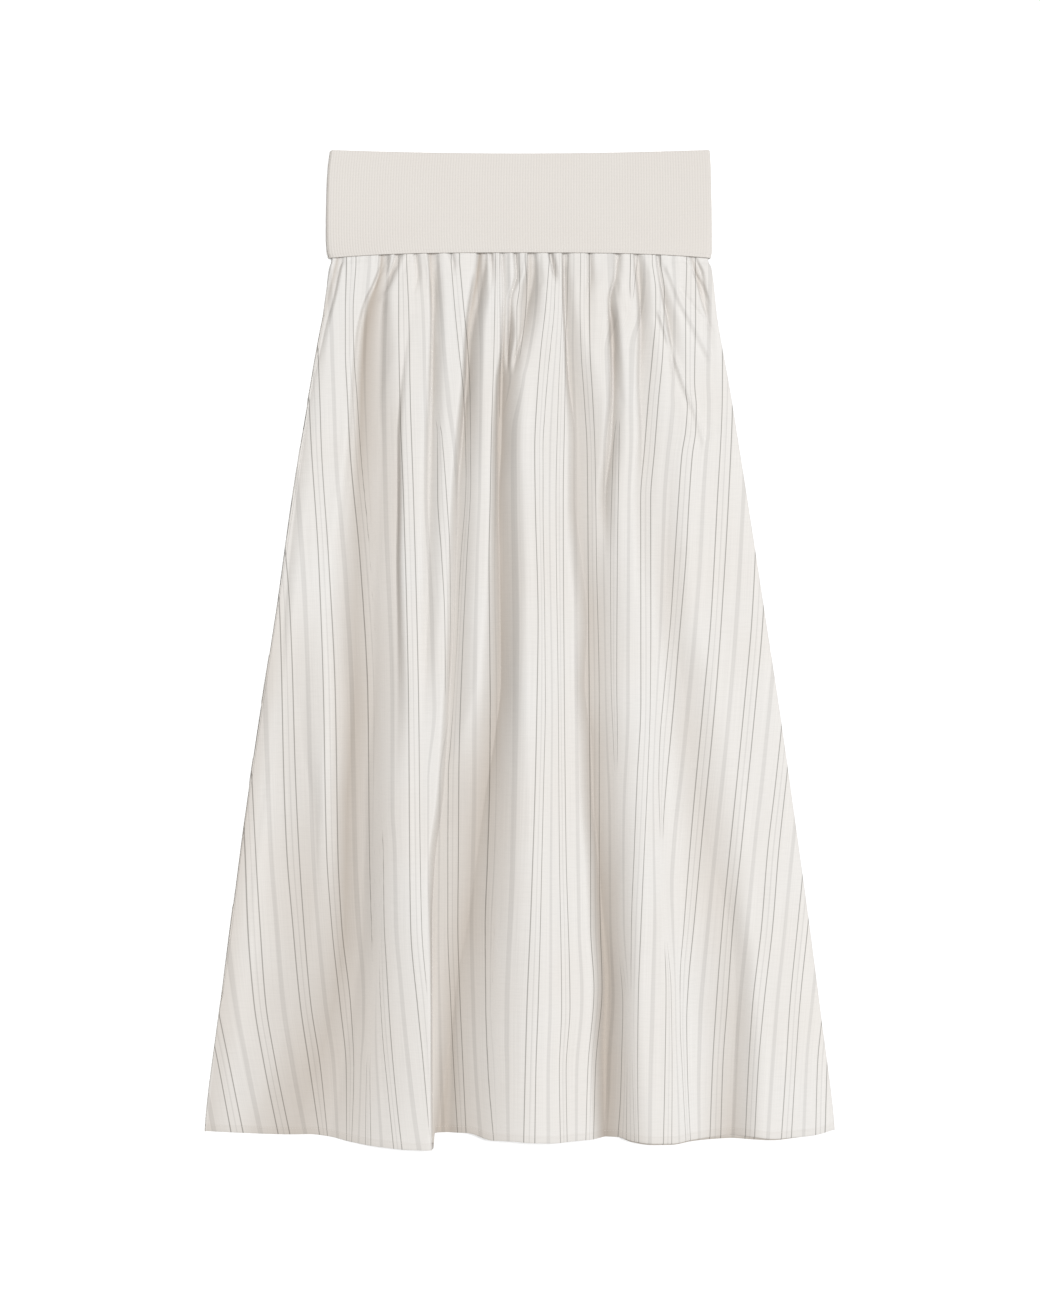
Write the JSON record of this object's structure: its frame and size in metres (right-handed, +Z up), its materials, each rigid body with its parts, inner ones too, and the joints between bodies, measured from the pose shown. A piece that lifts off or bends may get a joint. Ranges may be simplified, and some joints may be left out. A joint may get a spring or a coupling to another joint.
{
  "type": "gathered midi skirt, laid flat",
  "caption": "A-line midi skirt gathered into a fold-over rib-knit waistband, laid flat with soft uneven folds and a turned hem.",
  "frame": {"origin": "centre of the laid skirt's outline, on the surface that it lies on", "axes": "+X across the skirt, to the right seen from above; +Y towards the waistband; +Z up from the surface"},
  "size_m": [0.5662, 0.8997, 0.0224],
  "materials": {
    "striped_cloth": "matte woven cloth with fine grey pinstripes",
    "rib_knit": "matte fine rib knit"
  },
  "bodies": {
    "root": {"skirt_front": "striped_cloth", "skirt_back": "striped_cloth", "waistband": "rib_knit"}
  },
  "joints": []
}
